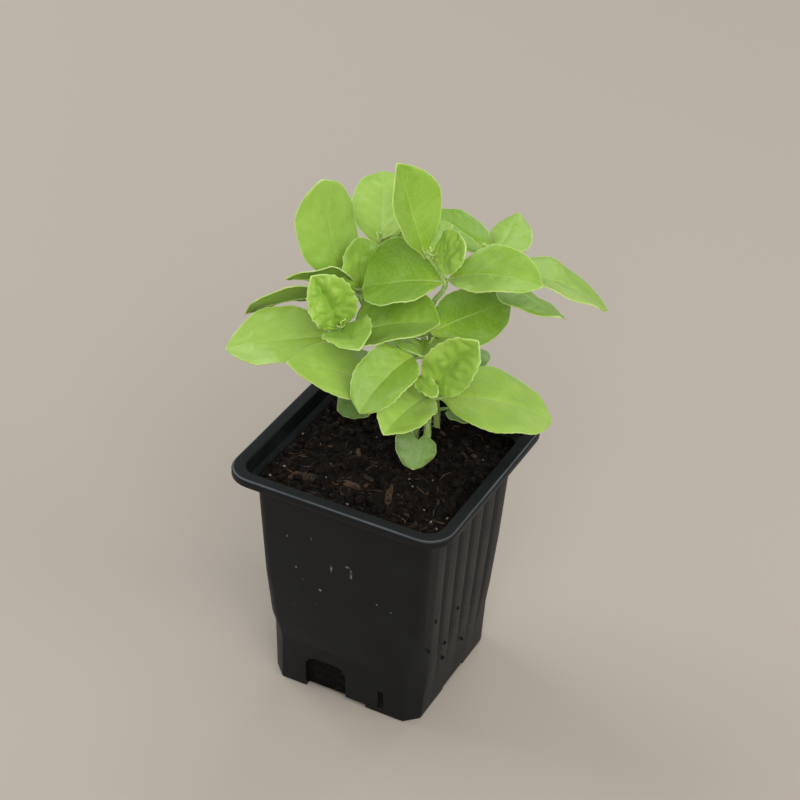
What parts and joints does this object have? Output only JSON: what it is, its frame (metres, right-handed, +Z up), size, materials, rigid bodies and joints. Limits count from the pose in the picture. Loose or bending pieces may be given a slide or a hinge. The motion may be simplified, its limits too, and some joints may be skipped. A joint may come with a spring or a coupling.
{
  "type": "potted basil",
  "caption": "Young basil seedlings with fresh green leaves in a small square black plastic nursery pot filled with dark potting mix.",
  "frame": {"origin": "centre of the pot's underside, on the surface it stands on", "axes": "+Z up; -Y out of the smooth side with the drainage slot that faces the viewer; +X out of the ribbed side to its right"},
  "size_m": [0.0915, 0.0995, 0.1598],
  "materials": {
    "black_plastic": "satin",
    "potting_mix": "matte",
    "basil": "satin"
  },
  "bodies": {
    "root": {"pot": "black_plastic", "potting_mix": "potting_mix", "basil_plant_front_left": "basil", "basil_plant_back_left": "basil", "basil_plant_tall": "basil", "basil_plant_front": "basil", "basil_plant_middle": "basil", "basil_plant_back_right": "basil", "basil_plant_back": "basil"}
  },
  "joints": []
}
